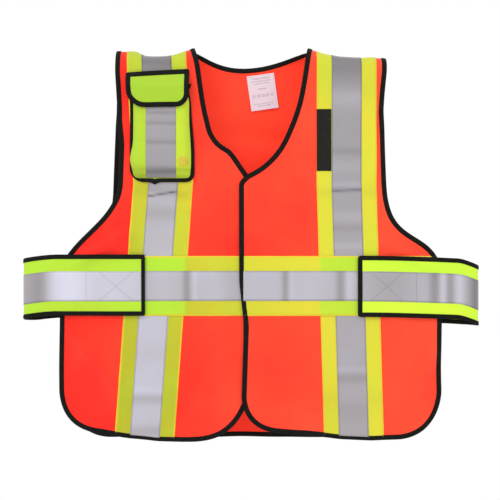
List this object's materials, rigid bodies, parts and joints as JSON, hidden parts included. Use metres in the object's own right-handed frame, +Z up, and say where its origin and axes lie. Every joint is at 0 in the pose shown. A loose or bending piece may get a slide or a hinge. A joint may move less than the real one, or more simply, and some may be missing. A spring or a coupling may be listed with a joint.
{
  "type": "high visibility vest",
  "caption": "Sleeveless breakaway safety vest with lime and reflective tapes, bound edges, peel-off side tabs, an overlapping front, a flapped radio pocket and a loop strip.",
  "frame": {"origin": "midway between the shoulders, at the height of their crests, where a hanger would pass", "axes": "+Z up, the front faces -Y, +X towards the wearer's left"},
  "size_m": [0.78, 0.0899, 0.6789],
  "materials": {
    "vest_fabric": "smooth fluorescent orange-red polyester knit",
    "lime_tape": "fluorescent yellow-green woven tape",
    "reflective_tape": "silver retroreflective satin",
    "binding": "black folded knit binding",
    "hook_and_loop": "black hook-and-loop pile",
    "label": "white woven satin"
  },
  "bodies": {
    "root": {"back_armhole_binding_left": "binding", "back_armhole_binding_right": "binding", "back_hem_binding": "binding", "back_neck_binding": "binding", "back_panel": "vest_fabric", "back_vertical_reflective_left": "reflective_tape", "back_vertical_reflective_right": "reflective_tape", "back_vertical_tape_left": "lime_tape", "back_vertical_tape_right": "lime_tape", "back_waist_reflective": "reflective_tape", "back_waist_tape": "lime_tape", "chest_strip": "hook_and_loop", "front_binding_left": "binding", "front_binding_right": "binding", "front_panel_left": "vest_fabric", "front_panel_right": "vest_fabric", "front_vertical_reflective_left": "reflective_tape", "front_vertical_reflective_right": "reflective_tape", "front_vertical_tape_left": "lime_tape", "front_vertical_tape_right": "lime_tape", "front_waist_reflective_left": "reflective_tape", "front_waist_reflective_right": "reflective_tape", "front_waist_tape_left": "lime_tape", "front_waist_tape_right": "lime_tape", "pouch_binding": "binding", "pouch_patch": "hook_and_loop", "pouch_reflective": "reflective_tape", "radio_pouch": "lime_tape", "shoulder_hook_patch_left": "hook_and_loop", "shoulder_hook_patch_right": "hook_and_loop", "shoulder_loop_patch_left": "hook_and_loop", "shoulder_loop_patch_right": "hook_and_loop", "strap_fold_left": "lime_tape", "strap_fold_right": "lime_tape", "waist_loop_patch_left": "hook_and_loop", "waist_loop_patch_right": "hook_and_loop"},
    "tab_right": {"tab_binding_right": "binding", "tab_fabric_right": "lime_tape", "tab_hook_patch_right": "hook_and_loop", "tab_reflective_right": "reflective_tape"},
    "tab_left": {"tab_binding_left": "binding", "tab_fabric_left": "lime_tape", "tab_hook_patch_left": "hook_and_loop", "tab_reflective_left": "reflective_tape"},
    "fly_right": {"fly_binding_right": "binding", "fly_panel_right": "vest_fabric", "fly_waist_reflective_right": "reflective_tape", "fly_waist_tape_right": "lime_tape", "lower_closure_right": "hook_and_loop", "upper_closure_right": "hook_and_loop"},
    "fly_left": {"fly_binding_left": "binding", "fly_panel_left": "vest_fabric", "fly_waist_reflective_left": "reflective_tape", "fly_waist_tape_left": "lime_tape", "lower_closure_left": "hook_and_loop", "upper_closure_left": "hook_and_loop"},
    "pocket_flap": {"pocket_flap_binding": "binding", "pocket_flap_fabric": "lime_tape", "pocket_flap_patch": "hook_and_loop"},
    "care_label": {"care_label": "label"}
  },
  "joints": [
    {"name": "tab_right_peel", "type": "hinge", "parent": "root", "child": "tab_right", "pos_m": [-0.393, -0.0034, -0.408], "axis": [0, 0, -1], "range_deg": [0, 170], "deforming": ["strap_fold_right"]},
    {"name": "tab_left_peel", "type": "hinge", "parent": "root", "child": "tab_left", "pos_m": [0.393, -0.0034, -0.408], "axis": [0, 0, 1], "range_deg": [0, 170], "deforming": ["strap_fold_left"]},
    {"name": "fly_left_open", "type": "hinge", "parent": "root", "child": "fly_left", "pos_m": [0.10805, -0.03793, -0.359], "axis": [-0.0238, 0, 0.9997], "range_deg": [0, 165]},
    {"name": "fly_right_open", "type": "hinge", "parent": "root", "child": "fly_right", "pos_m": [-0.09775, -0.03793, -0.406], "axis": [-0.0684, 0, -0.9977], "range_deg": [0, 135]},
    {"name": "pocket_flap_lift", "type": "hinge", "parent": "root", "child": "pocket_flap", "pos_m": [-0.16, -0.03786, -0.0426], "axis": [-0.9982, 0.0172, -0.057], "range_deg": [0, 150]},
    {"name": "care_label_lift", "type": "hinge", "parent": "root", "child": "care_label", "pos_m": [0.01608, 0.02833, -0.03762], "axis": [-0.9903, 0, -0.1392], "range_deg": [0, 170]}
  ],
  "couplings": [
    {"joint": "fly_right_open", "follows": "fly_left_open", "ratio": 0.8}
  ]
}
